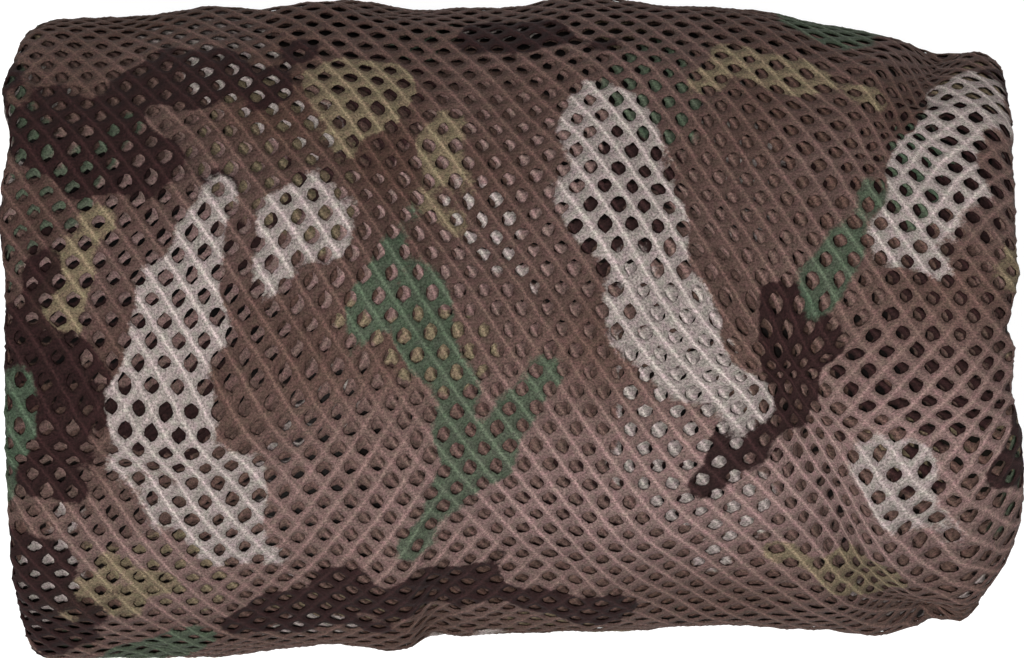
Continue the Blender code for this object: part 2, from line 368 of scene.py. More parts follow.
def net_cells(keep, reach):
    """Every mesh cell whose centre keep() takes. Cloth places of the shared outline points and of the hole
    rims, with the outline points' indices for each cell and which sides have no neighbour."""
    def place(u, v):
        return u * HOLE_STEP / 2, v

    many_x, many_s = int(reach[0] / HOLE_STEP) + 4, int(reach[1] / ROW_STEP) + 4
    i, j = np.meshgrid(np.arange(-many_x, many_x + 1), np.arange(-8, many_s + 1), indexing="ij")
    i, j = i.ravel(), j.ravel()
    u = 2 * i + j % 2
    x, s = place(u, j * ROW_STEP)
    taken = keep(x, s)
    u, j = u[taken], j[taken]
    centre = np.stack([x[taken], s[taken]], axis=1)
    keys, spots = [], []
    for k in range(6):
        du, dw = CORNERS[k]
        eu, ew = CORNERS[(k + 1) % 6]
        first, second = (u + du, 3 * j + dw), (u + eu, 3 * j + ew)

        def high(w):
            lower, upper = (w // 3) * ROW_STEP + CORNER_LOW, (w // 3 + 1) * ROW_STEP - CORNER_LOW
            return np.where(w % 3 == 1, lower, upper)

        a = place(first[0], high(first[1]))
        b = place(second[0], high(second[1]))
        keys += [(2 * first[0], 2 * first[1]), (first[0] + second[0], first[1] + second[1])]
        spots += [a, ((a[0] + b[0]) / 2, (a[1] + b[1]) / 2)]
    key = np.stack([k[0] * KEY_BASE + k[1] for k in keys], axis=1)
    spot = np.stack([np.stack(p, axis=1) for p in spots], axis=1)
    _, first_at, index = np.unique(key.ravel(), return_index=True, return_inverse=True)
    outline = spot.reshape(-1, 2)[first_at]
    index = index.reshape(key.shape)
    sides = key[:, 1::2]
    _, side_index, uses = np.unique(sides.ravel(), return_inverse=True, return_counts=True)
    lone = (uses[side_index] == 1).reshape(sides.shape)
    return centre, outline, index, lone


def rim_points(centre, rng, open_share):
    """Twelve points round each hole, an oval that differs a little from cell to cell."""
    size = open_share * (1.0 + SIZE_SPREAD * rng.standard_normal((len(centre), 2)))
    lean = np.radians(LEAN_SPREAD * rng.standard_normal(len(centre)))[:, None]
    form = 1.0 + RIM_SQUARENESS * np.cos(4.0 * RIM_ANGLES) + RIM_WAVINESS * np.cos(6.0 * RIM_ANGLES)
    uneven = form + RIM_SPREAD * rng.standard_normal((len(centre), RIM_POINTS))
    px = np.cos(RIM_ANGLES) * uneven * HOLE_ACROSS / 2 * size[:, :1]
    ps = np.sin(RIM_ANGLES) * uneven * HOLE_ALONG / 2 * size[:, 1:]
    centre = centre + PLACE_SPREAD * rng.standard_normal(centre.shape)
    x = centre[:, :1] + px * np.cos(lean) - ps * np.sin(lean)
    s = centre[:, 1:] + px * np.sin(lean) + ps * np.cos(lean)
    return np.stack([x, s], axis=2)


RIDGE_HALF = 0.25           # half a ridge's width, as a share of the step between ridges


def ridges(x, s):
    """1 on the knit's slanting ridges, 0 between them, where the bars that slant the other way cross."""
    across = (x / HOLE_STEP - s / (2 * ROW_STEP)) % 1.0
    return np.clip(1.0 - np.abs(across - 0.5) / RIDGE_HALF, 0.0, 1.0)


SLOPE_TABLE = np.tan(np.radians(np.array(ROW_SLOPE, float)))


def row_shift(x, angle):
    """How far the rows have climbed towards the back at these places."""
    fine = np.linspace(ROW_SLOPE_X[0] - 0.02, ROW_SLOPE_X[-1] + 0.02, 240)
    slopes = np.array([np.interp(fine, ROW_SLOPE_X, row) for row in SLOPE_TABLE])
    for _ in range(3):
        slopes[:, 1:-1] = (slopes[:, :-2] + 2 * slopes[:, 1:-1] + slopes[:, 2:]) / 4
    climb = np.cumsum(slopes, axis=1) * (fine[1] - fine[0])
    climb -= climb[:, [int(np.searchsorted(fine, -0.012))]]
    angle = np.clip(wrapped(angle - 90.0) + 90.0, ROW_SLOPE_ANGLE[0], ROW_SLOPE_ANGLE[-1])
    row = np.clip(np.searchsorted(ROW_SLOPE_ANGLE, angle, side="right"), 1, len(ROW_SLOPE_ANGLE) - 1)
    low, top = np.array(ROW_SLOPE_ANGLE)[row - 1], np.array(ROW_SLOPE_ANGLE)[row]
    t = (angle - low) / (top - low)
    t = t * t * (3 - 2 * t)
    column = np.clip((x - fine[0]) / (fine[1] - fine[0]), 0, len(fine) - 1.001)
    c, f = column.astype(int), column - column.astype(int)
    first = climb[row - 1, c] * (1 - f) + climb[row - 1, c + 1] * f
    second = climb[row, c] * (1 - f) + climb[row, c + 1] * f
    return first * (1 - t) + second * t


def eased(across, along, share=1.0):
    """The lattice as it lies on the roll: rows that climb and fall, and mesh drawn in at the creases."""
    angle = END_ANGLE + along / TURN_LENGTH * 360.0
    inside = np.clip((0.12 - np.abs(across)) / 0.02, 0.0, 1.0)
    seen = np.clip((along + 0.002) / 0.03, 0.0, 1.0)
    move_s = -row_shift(across, angle) * inside * seen
    pull_x, pull_s, weight = np.zeros((3, len(across)))
    for _, width, pull, off_x, off_arc in away_from_folds(across, angle):
        near = pull * np.exp(-(off_x**2 + off_arc**2) / (1.6 * width) ** 2)
        pull_x += near**3 * off_x
        pull_s += near**3 * off_arc
        weight += near**2
    pull_x, pull_s = pull_x / (weight + 1e-9), pull_s / (weight + 1e-9)
    return across - pull_x * share, along + (move_s - pull_s) * share


# ---------------------------------------------------------------- the print
# Blotches of one repeat: X, place along the cloth, half width, half length (mm) and lean in degrees.
REPEAT = (0.262, 0.396)
PALE, DARK, GREEN, KHAKI = range(4)
BLOTCHES = (
    (DARK, -30, 206, 27, 10, -10),
    (DARK, -92, 150, 13, 22, 10),
    (DARK, 56, 148, 10, 17, -24),
    (DARK, 44, 166, 8, 9, 20),
    (DARK, 106, 176, 8, 16, 0),
    (DARK, -84, 96, 24, 13, 30),
    (DARK, -58, 84, 15, 10, -10),
    (DARK, 2, 72, 15, 7, 12),
    (DARK, 8, 214, 16, 7, 16),
    (DARK, -96, 206, 15, 24, 8),
    (DARK, 118, 60, 18, 34, 14),
    (DARK, -40, 300, 34, 16, 20),
    (DARK, 70, 330, 20, 30, -30),
    (DARK, -100, 370, 26, 14, -16),
    (DARK, 30, 20, 26, 12, -24),
    (PALE, -66, 146, 10, 31, 10),
    (PALE, -56, 174, 9, 18, -24),
    (PALE, -42, 122, 8, 14, 30),
    (PALE, 22, 118, 11, 26, -8),
    (PALE, 33, 146, 9, 20, -30),
    (PALE, 84, 108, 9, 26, 16),
    (PALE, 92, 80, 8, 12, -20),
    (PALE, 80, 182, 7, 12, -30),
    (PALE, 116, 220, 12, 34, -10),
    (PALE, -14, 258, 9, 26, 18),
    (PALE, -80, 290, 8, 24, -14),
    (PALE, 40, 290, 10, 22, 24),
    (PALE, 100, 372, 9, 24, 8),
    (PALE, -50, 30, 9, 24, -16),
    (GREEN, -14, 150, 6, 22, -16),
    (GREEN, -6, 170, 5, 18, 36),
    (GREEN, -26, 134, 4, 12, 22),
    (GREEN, 64, 128, 5, 17, 28),
    (GREEN, 112, 150, 9, 16, -6),
    (GREEN, -100, 160, 6, 16, 4),
    (GREEN, 10, 320, 10, 20, -20),
    (GREEN, -70, 232, 9, 20, 24),
    (GREEN, 60, 40, 9, 24, -12),
    (GREEN, -96, 30, 9, 18, 12),
    (KHAKI, -30, 92, 11, 12, 30),
    (KHAKI, -14, 106, 6, 10, -10),
    (KHAKI, 52, 84, 13, 7, -14),
    (KHAKI, 66, 204, 14, 8, 12),
    (KHAKI, -76, 198, 12, 7, -18),
    (KHAKI, -88, 124, 6, 12, 10),
    (KHAKI, 100, 130, 6, 10, 26),
    (KHAKI, 16, 250, 16, 12, 30),
    (KHAKI, 94, 300, 14, 22, -18),
    (KHAKI, -30, 366, 18, 10, 12),
    (KHAKI, 110, 10, 14, 10, 24),
)
# Paler places, partly rubbed print and partly painted light on the front of the roll, and darker ones,
# painted shade towards the back of the roll and darker again at its left end: X, place along the cloth,
# half width, half length, share.
WEAR_AND_PAINTED_LIGHT = (
    (0.020, 0.180, 0.065, 0.026, 0.85),
    (0.085, 0.165, 0.030, 0.040, 0.45),
    (-0.070, 0.194, 0.030, 0.024, 0.40),
    (0.030, 0.060, 0.085, 0.030, -0.45),
    (0.000, 0.122, 0.120, 0.028, -0.42),
    (-0.100, 0.140, 0.030, 0.050, -0.45),
)
WOBBLE = ((2.6, 31.0, 17.0, 0.3), (2.2, -19.0, 43.0, 1.9), (1.6, 67.0, 29.0, 4.4), (1.3, -53.0, 71.0, 2.7))


def print_fields(across, along):
    """For each colour, how far inside its blotches a place of the cloth is, in millimetres."""
    fields = np.full((4, len(across)), -40.0)
    wobble = np.zeros(len(across))
    for rise, waves_x, waves_s, phase in WOBBLE:
        wobble += rise * np.sin(2 * math.pi * (waves_x * across + waves_s * along) + phase)
    for colour, x0, s0, half_x, half_s, lean in BLOTCHES:
        dx = (across - x0 / 1000 + REPEAT[0] / 2) % REPEAT[0] - REPEAT[0] / 2
        ds = (along - s0 / 1000 + REPEAT[1] / 2) % REPEAT[1] - REPEAT[1] / 2
        cos, sin = math.cos(math.radians(lean)), math.sin(math.radians(lean))
        far = np.hypot((dx * cos + ds * sin) / half_x, (-dx * sin + ds * cos) / half_s) * 1000
        inside = (1.0 - far) * min(half_x, half_s)
        fields[colour] = np.maximum(fields[colour], inside)
    scale = (0.5, 1.0, 0.45, 0.8)
    signs = (1.0, 1.0, -1.0, -1.0)
    for colour in range(4):
        fields[colour] += wobble * scale[colour] * signs[colour]
    return fields


# ---------------------------------------------------------------- building the plies
def give_attributes(mesh, cloth, print_at):
    """The cloth coordinates, the print's fields, and a field of rubbed print with painted light and shade,
    for the material.
    """
    fields = print_fields(print_at[:, 0], print_at[:, 1])
    cloth_layer = mesh.attributes.new("cloth", "FLOAT_VECTOR", "POINT")
    cloth_layer.data.foreach_set("vector", cloth.astype(np.float32).ravel())
    first = mesh.attributes.new("print_main", "FLOAT_VECTOR", "POINT")
    first.data.foreach_set("vector", (fields[:3] / 10).T.astype(np.float32).ravel())
    second = mesh.attributes.new("khaki_and_painted_light", "FLOAT_VECTOR", "POINT")
    # above 0: partly rubbed print, partly painted light on the front of the roll; below 0: painted shade
    # towards its back
    wear_and_light = np.zeros(len(cloth))
    for x0, s0, half_x, half_s, share in WEAR_AND_PAINTED_LIGHT:
        far = ((print_at[:, 0] - x0) / half_x) ** 2 + ((print_at[:, 1] - s0) / half_s) ** 2
        wear_and_light += share * np.exp(-far)
    more = np.stack([fields[3] / 10, wear_and_light, np.zeros(len(cloth))], axis=1)
    second.data.foreach_set("vector", more.astype(np.float32).ravel())


def new_piece(name, points, faces, material):
    mesh = bpy.data.meshes.new(name)
    mesh.from_pydata(points.tolist(), [], faces)
    mesh.update()
    mesh.shade_smooth()
    mesh.materials.append(material)
    obj = bpy.data.objects.new(name, mesh)
    bpy.context.scene.collection.objects.link(obj)
    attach(obj, "root")
    return obj


def perforated(name, cells, place, drop, material, print_shift, seed, fine_outline=True, open_share=1.0):
    """A ply of mesh cloth as one closed mesh: crests along the bars, round rims, walls and an underside."""
    centre, outline, index, lone = cells
    rng = np.random.default_rng(seed)
    rim = rim_points(centre, rng, open_share)
    many, count = len(outline), len(centre)
    flat_rim = rim.reshape(-1, 2)
    high = RIDGE_RISE * (ridges(outline[:, 0], outline[:, 1]) - 0.5)
    high = high + CREST_SPREAD * rng.standard_normal(many)
    crest = place(outline[:, 0], outline[:, 1], drop - high)
    under = place(outline[:, 0], outline[:, 1], np.full(many, drop + PLY_DEPTH))
    top = place(flat_rim[:, 0], flat_rim[:, 1], np.full(len(flat_rim), drop + RIM_SINK))
    low = place(flat_rim[:, 0], flat_rim[:, 1], np.full(len(flat_rim), drop + PLY_DEPTH - 0.00006))
    points = np.concatenate([crest, under, top, low])
    cloth_flat = np.concatenate([outline, outline, flat_rim, flat_rim])
    at_under, at_top, at_low = many, 2 * many, 2 * many + RIM_POINTS * count
    ring = np.arange(RIM_POINTS)
    after = (ring + 1) % RIM_POINTS
    b = index
    r = at_top + np.arange(count)[:, None] * RIM_POINTS + ring
    q = at_low + np.arange(count)[:, None] * RIM_POINTS + ring
    faces = []
    if fine_outline:
        quads = np.stack([b[:, ring], r[:, ring], r[:, after], b[:, after]], axis=2).reshape(-1, 4)
        faces += quads.tolist()
    walls = np.stack([r[:, ring], q[:, ring], q[:, after], r[:, after]], axis=2).reshape(-1, 4)
    faces += walls.tolist()
    for side in range(6):
        k0, k1, k2 = 2 * side, 2 * side + 1, (2 * side + 2) % RIM_POINTS
        c0, c1 = b[:, k0] + at_under, b[:, k2] + at_under
        three = [(c0, q[:, k1], q[:, k0]), (c0, c1, q[:, k1]), (c1, q[:, k2], q[:, k1])]
        if not fine_outline:
            d0, d1 = b[:, k0], b[:, k2]
            three += [(d0, r[:, k0], r[:, k1]), (d0, r[:, k1], d1), (d1, r[:, k1], r[:, k2])]
        for tri in three:
            faces += np.stack(tri, axis=1).tolist()
        rows = lone[:, side]
        t0, t1, t2, e0, e1 = b[rows, k0], b[rows, k1], b[rows, k2], c0[rows], c1[rows]
        if fine_outline:
            for tri in ((t0, t1, e0), (t1, e1, e0), (t1, t2, e1)):
                faces += np.stack(tri, axis=1).tolist()
        else:
            faces += np.stack([t0, t2, e1, e0], axis=1).tolist()
    used = np.zeros(len(points), bool)
    used[np.concatenate([np.asarray(f) for f in (index.ravel(), index[:, ::2].ravel() + at_under)])] = True
    used[at_top:] = True
    if not fine_outline:
        used[:many] = False
        used[index[:, ::2].ravel()] = True
    renumber = np.cumsum(used) - 1
    faces = [[int(renumber[v]) for v in face] for face in faces]
    points, cloth_flat = points[used], cloth_flat[used]
    obj = new_piece(name, points, faces, material)
    cloth = np.column_stack([cloth_flat, np.full(len(cloth_flat), seed * 0.37)])
    give_attributes(obj.data, cloth, cloth_flat + np.array(print_shift))
    return obj


# ---------------------------------------------------------------- materials
GROUND = ((0.0515, 0.0291, 0.0229), (0.0850, 0.0544, 0.0487))
# the ground where the print is rubbed and where light is painted on the front of the roll
RUBBED_AND_LIT_GROUND = (0.178, 0.121, 0.118)
DARK_BROWN = (0.0135, 0.0056, 0.0058)
PALE_GREY = (0.206, 0.177, 0.172)
LEAF_GREEN = (0.038, 0.056, 0.038)
DRY_KHAKI = (0.112, 0.088, 0.058)
ROSY = (1.07, 0.96, 0.98)
OLIVE = (0.96, 1.03, 0.92)
FRAY = 0.34                 # how far the print's edges wander, in centimetres
GRAIN_DARKEST, GRAIN_BRIGHTEST = 0.35, 1.9
BETWEEN_RIDGES = 0.86
LATTICE_HOLE_SHADE = 0.06
CLOTH_SPECULAR = 0.06
BUMP_STRENGTH, BUMP_DISTANCE = 0.8, 0.00030


def cloth_material(name, shade=1.0, lattice=False):
    """Printed knit: blotches with slightly frayed edges, soft changes of tone, rubbed places, and the
    knit's own grain. Painted light and shade over it: highlights on its slanting ridges, light on the front
    of the roll and shade towards its back, and the whole tone times shade for plies that lie under others.
    """
    material = bpy.data.materials.new(name)
    material.use_nodes = True
    tree = material.node_tree
    nodes, links = tree.nodes, tree.links
    shader = nodes["Principled BSDF"]

    def node(kind, **settings):
        made = nodes.new(kind)
        for key, value in settings.items():
            setattr(made, key, value)
        return made

    def math_node(operation, a, b=None, clamp=False):
        made = node("ShaderNodeMath", operation=operation, use_clamp=clamp)
        for socket, value in zip(made.inputs, (a, b)):
            if value is None:
                continue
            if isinstance(value, (int, float)):
                socket.default_value = value
            else:
                links.new(value, socket)
        return made.outputs[0]

    def scaled(value, times, plus, clamp=False):
        made = math_node("MULTIPLY_ADD", value, times, clamp)
        made.node.inputs[2].default_value = plus
        return made

    def noise(scale, detail, vector, roughness=0.5):
        made = node("ShaderNodeTexNoise")
        made.inputs["Scale"].default_value = scale
        made.inputs["Detail"].default_value = detail
        made.inputs["Roughness"].default_value = roughness
        links.new(vector, made.inputs["Vector"])
        return made.outputs["Fac"]

    def mix(factor, first, second, blend="MIX"):
        made = node("ShaderNodeMix", data_type="RGBA", blend_type=blend)
        for socket, value in ((made.inputs[0], factor), (made.inputs[6], first), (made.inputs[7], second)):
            if isinstance(value, (int, float)):
                socket.default_value = value
            elif isinstance(value, tuple):
                socket.default_value = (*value, 1.0)
            else:
                links.new(value, socket)
        return made.outputs[2]

    cloth = node("ShaderNodeAttribute", attribute_name="cloth").outputs["Vector"]
    fields = node("ShaderNodeSeparateXYZ")
    links.new(node("ShaderNodeAttribute", attribute_name="print_main").outputs["Vector"], fields.inputs[0])
    more = node("ShaderNodeSeparateXYZ")
    links.new(node("ShaderNodeAttribute", attribute_name="khaki_and_painted_light").outputs["Vector"], more.inputs[0])

    # the ground's slow drift of tone, then paler places, partly rubbed print and partly painted light on
    # the front of the roll, then painted shade towards its back
    fray = scaled(noise(700.0, 4.0, cloth, 0.75), FRAY, -FRAY / 2)
    colour = mix(scaled(noise(26.0, 2.0, cloth), 2.4, -0.72, True), GROUND[0], GROUND[1])
    # paler: rubbed print and painted light on the front of the roll
    colour = mix(scaled(more.outputs[1], 0.8, 0.0, True), colour, RUBBED_AND_LIT_GROUND)
    # painted shade, darker towards the back of the roll and at its left end
    colour = mix(scaled(more.outputs[1], -0.6, 0.0, True), colour, DARK_BROWN)

    def blotch(field, paint, under, strength):
        sharp = scaled(math_node("ADD", field, fray), 11.0, 0.5, True)
        return mix(math_node("MULTIPLY", sharp, strength), under, paint)

    colour = blotch(more.outputs[0], DRY_KHAKI, colour, 0.92)
    colour = blotch(fields.outputs[DARK], DARK_BROWN, colour, 0.96)
    colour = blotch(fields.outputs[GREEN], LEAF_GREEN, colour, 0.86)
    colour = blotch(fields.outputs[PALE], PALE_GREY, colour, 0.94)

    hue = scaled(noise(600.0, 3.0, cloth, 0.7), 3.0, -1.0, True)
    colour = mix(1.0, colour, mix(hue, ROSY, OLIVE), "MULTIPLY")

    # the knit's own grain and patches of tone, then painted highlights on its slanting ridges and painted
    # shade on the bars that slant the other way
    grain = noise(2300.0, 4.0, cloth, 0.8)
    grain_tone = math_node("MAXIMUM", scaled(grain, 4.8, -1.4), GRAIN_DARKEST)
    grain_tone = math_node("MINIMUM", grain_tone, GRAIN_BRIGHTEST)
    patch = noise(140.0, 2.0, cloth)
    patch_tone = scaled(patch, 0.5, 0.75)
    knit = node("ShaderNodeSeparateXYZ")
    links.new(cloth, knit.inputs[0])
    knit_x = math_node("DIVIDE", knit.outputs[0], HOLE_STEP)
    knit_s = math_node("DIVIDE", knit.outputs[1], 2 * ROW_STEP)

    def line(way):
        at = math_node("FRACT", math_node(way, knit_x, knit_s))
        off = math_node("ABSOLUTE", math_node("SUBTRACT", at, 0.5))
        return scaled(off, -8.0, 1.0, True)

    raised, low = line("SUBTRACT"), line("ADD")
    # here and there the painted highlight goes to the bars that slant the other way instead
    turned = scaled(noise(16.0, 1.0, cloth), 7.0, -3.6, True)
    # painted highlights on the slanting ridges and painted shade on the other bars, over the tone between
    # them
    ridge_highlight = math_node("MULTIPLY", raised, scaled(turned, -0.55, 0.75))
    other_bars_light_and_shade = math_node("MULTIPLY", low, scaled(turned, 0.75, -0.14))
    painted_ridge_light = math_node("ADD", math_node("ADD", ridge_highlight, other_bars_light_and_shade), BETWEEN_RIDGES)
    tone = math_node("MULTIPLY", math_node("MULTIPLY", grain_tone, patch_tone), painted_ridge_light)
    tone = math_node("MULTIPLY", tone, shade)
    # a mesh lattice painted on the plies under the second, with painted shade in its holes
    if lattice:
        tone = math_node("MULTIPLY", tone, lattice_holes(math_node, scaled, knit.outputs))
    grey = node("ShaderNodeCombineXYZ")
    for socket in grey.inputs:
        links.new(tone, socket)
    colour = mix(1.0, colour, grey.outputs[0], "MULTIPLY")
    links.new(colour, shader.inputs["Base Color"])

    links.new(scaled(patch, 0.14, 0.74), shader.inputs["Roughness"])
    shader.inputs["Specular IOR Level"].default_value = CLOTH_SPECULAR
    bump = node("ShaderNodeBump")
    bump.inputs["Strength"].default_value = BUMP_STRENGTH
    bump.inputs["Distance"].default_value = BUMP_DISTANCE
    relief = math_node("ADD", grain, math_node("MULTIPLY", raised, 0.6))
    links.new(relief, bump.inputs["Height"])
    links.new(bump.outputs["Normal"], shader.inputs["Normal"])
    return material


def lattice_holes(math_node, scaled, place):
    """Painted shade in the holes of a mesh lattice painted on, and 1 on its bars, for plies that show only
    through others.
    """
    x = math_node("DIVIDE", place[0], HOLE_STEP)
    s = math_node("DIVIDE", place[1], 2 * ROW_STEP)

    def squared(at, shift, times):
        off = math_node("SUBTRACT", math_node("FRACT", math_node("ADD", at, shift)), 0.5)
        off = math_node("MULTIPLY", off, times)
        return math_node("MULTIPLY", off, off)

    def outside(shift):
        """0 well inside one of the holes, 1 outside."""
        off_x = squared(x, shift, 2 * HOLE_STEP / HOLE_ACROSS)
        off_s = squared(s, shift, 4 * ROW_STEP / HOLE_ALONG)
        return scaled(math_node("SQRT", math_node("ADD", off_x, off_s)), 5.0, -4.5, True)

    both = math_node("MULTIPLY", outside(0.0), outside(0.5))
    return scaled(both, 1.0 - LATTICE_HOLE_SHADE, LATTICE_HOLE_SHADE)


# ---------------------------------------------------------------- the pieces
cloth_top = cloth_material("printed_mesh")
# the plies under the outer one are copies of its material with painted shade: the whole tone times 0.90 for
# the second ply and 0.70 for the plies under that
cloth_under = cloth_material("printed_mesh_under_shaded", 0.90)
cloth_inner = cloth_material("printed_plies_shaded", 0.70, lattice=True)

# The outer plies: where the upper piece gives way to the lower one, where that ends, and half their width.
SPLIT = 0.68 * TURN_LENGTH
LAST = 1.06 * TURN_LENGTH
SKIN_HALF = 0.1035
SECOND_TURN = 0.70          # how far the second ply's lattice is turned against the first's, in degrees
SECOND_OPEN = 1.17          # its holes' size against the first's
SECOND_WAVE = 0.0008
SECOND_MIDDLE, SECOND_HALF = -0.0005, SKIN_HALF - 0.0015
SECOND_SPLIT, SECOND_LAST = SPLIT - 0.004, LAST - 0.006
SECOND_PRINT = (0.083, 0.061)


def skin_eased(across, along, drop):
    return skin(*eased(across, along), drop)


# Lines where both plies' holes lie in step: X and angle of both ends, half width, shift across and along.
IN_STEP = (
    (0.0310, 64.0, 0.0487, 88.0, 0.006, 0.0020, -0.0004),
    (0.0566, 103.0, 0.0703, 146.0, 0.008, -0.0025, -0.0007),
    (-0.0350, 20.0, 0.0760, 18.0, 0.010, 0.0012, -0.0002),
)


def second_eased(across, along, drop):
    """The second ply's holes lie between the first's at the left and drift slowly in and out of step."""
    turn = math.radians(SECOND_TURN)
    angle = END_ANGLE + along / TURN_LENGTH * 360.0
    wave_x = np.sin(2 * math.pi * (7.0 * across + 4.0 * along) + 0.6)
    wave_s = np.sin(2 * math.pi * (5.0 * across - 8.0 * along) + 1.1)
    off_x = 0.0004 - turn * (along - 0.143) + SECOND_WAVE * wave_x
    off_s = 0.0030 + turn * (across + 0.075) + SECOND_WAVE * wave_s
    for x0, angle0, x1, angle1, width, step_x, step_s in IN_STEP:
        arc = np.radians(angle - angle0) * END_RADIUS
        line_x, line_arc = x1 - x0, math.radians(angle1 - angle0) * END_RADIUS
        t = np.clip(((across - x0) * line_x + arc * line_arc) / (line_x**2 + line_arc**2), 0.0, 1.0)
        away = np.hypot(across - x0 - t * line_x, arc - t * line_arc)
        near = np.exp(-((away / width) ** 2))
        off_x, off_s = off_x + near * step_x, off_s + near * step_s
    deep = drop + 0.00012 * (1.0 + np.sin(2 * math.pi * (11.0 * across + 17.0 * along)))
    return skin(*eased(across + off_x, along + off_s, 0.9), deep)


reach = (SKIN_HALF + 0.03, LAST + 0.03)
top_cells = net_cells(
    lambda x, s: (np.abs(x) < SKIN_HALF) & (s > -LIP_LENGTH) & (s < SPLIT), reach
)
outer_top = perforated("net_outer_ply", top_cells, skin_eased, 0.0, cloth_top, (0.0, 0.0), 1)
low_cells = net_cells(lambda x, s: (np.abs(x) < SKIN_HALF) & (s >= SPLIT) & (s < LAST), reach)
outer_low = perforated("net_outer_ply_underside", low_cells, skin_eased, 0.0, cloth_top, (0.0, 0.0), 2)

second_cells = net_cells(
    lambda x, s: (np.abs(x - SECOND_MIDDLE) < SECOND_HALF) & (s > -LIP_LENGTH) & (s < SECOND_SPLIT), reach
)
second_top = perforated(
    "net_second_ply", second_cells, second_eased, SECOND_PLY, cloth_under, SECOND_PRINT, 3, False,
    SECOND_OPEN,
)
second_low_cells = net_cells(
    lambda x, s: (np.abs(x - SECOND_MIDDLE) < SECOND_HALF) & (s >= SECOND_SPLIT) & (s < SECOND_LAST), reach
)
second_low = perforated(
    "net_second_ply_underside", second_low_cells, second_eased, SECOND_PLY, cloth_under, SECOND_PRINT, 4,
    False, SECOND_OPEN,
)

# Ends of the band: each turn's edge is two rounded folds, one bundle of plies beside the other.
BUNDLE_CENTRES = (EDGE_HEIGHT, BAND_THICKNESS - EDGE_HEIGHT)
BUNDLE_REACH = 0.0032
BUNDLE_HEIGHT = 0.0020
BUNDLE_HALF = 0.0052
BUNDLE_SINK = 0.0010        # how far the bundles stay in from the band's edge
TURN_RADIUS = 0.0613        # of the circle that a turn of the outer ply is as long as, once settled
SPIRAL_MARGIN = 0.004


def spiral_length(turns):
    """Cloth between the loose end and here, along the band's outer face."""
    arc = 2 * math.pi * (END_RADIUS * turns - TURN_PITCH * turns**2 / 2)
    return arc * TURN_LENGTH / (2 * math.pi * TURN_RADIUS)


SPIRAL_TURNS = np.linspace(0.0, TURNS, 600)
SPIRAL_LENGTHS = spiral_length(SPIRAL_TURNS)


def bundle_place(side, centre_drop, in_from):
    """Places cloth round one bundle's edge: across it, 0 at its crest, and along the spiral."""
    a, arc = ellipse_table(BUNDLE_REACH, BUNDLE_HEIGHT)
    quarter = arc[-1]

    def place(across, along, drop):
        turns = np.interp(along, SPIRAL_LENGTHS, SPIRAL_TURNS)
        from_tangent = quarter - np.abs(across)
        angle = np.interp(from_tangent, arc, a)
        straight = np.maximum(0.0, -from_tangent)
        out = (BUNDLE_REACH - drop) * np.sin(angle) - straight
        high = (BUNDLE_HEIGHT - drop) * np.cos(angle) * np.sign(across)
        edge = np.where(side > 0, between(EDGES, turns, 2), -between(EDGES, turns, 1))
        share = np.clip(end_share_at(turns), LEAST_EDGE_SHARE, 1.0) * core_share_at(turns)
        wander = 0.0006 * np.sin(turns * 23.0 + centre_drop * 900.0) + 0.0004 * np.sin(turns * 41.0 + side)
        wander -= BUNDLE_SINK
        x = side * (edge - in_from - BUNDLE_REACH + out + wander)
        return laid(x, turns, centre_drop * share - high * side * share)

    return place


def end_folds(name, side):
    """The mesh on every bundle edge that shows at one end of the roll, joined into one piece."""
    made = []
    for number, centre_drop in enumerate(BUNDLE_CENTRES):
        first = 1.0 if number == 0 else 0.0
        start = spiral_length(first) + SPIRAL_MARGIN
        last = spiral_length(TURNS) - SPIRAL_MARGIN
        cells = net_cells(
            lambda x, s: (np.abs(x) < BUNDLE_HALF) & (s > start) & (s < last), (0.02, last + 0.01)
        )
        place = bundle_place(side, centre_drop, 0.0006 * number)
        print_shift = (0.098 * side, 0.11 * number)
        made.append(perforated(f"{name}_{number}", cells, place, 0.0, cloth_top, print_shift, 5 + number))
    chosen = {"active_object": made[0], "selected_objects": made, "selected_editable_objects": made}
    with bpy.context.temp_override(**chosen):
        bpy.ops.object.join()
    made[0].name = name
    made[0].data.name = name
    return made[0]


left_folds = end_folds("net_left_folds", -1)
right_folds = end_folds("net_right_folds", 1)


COVERED_TURNS = 1.04        # the outer plies cover the band this far


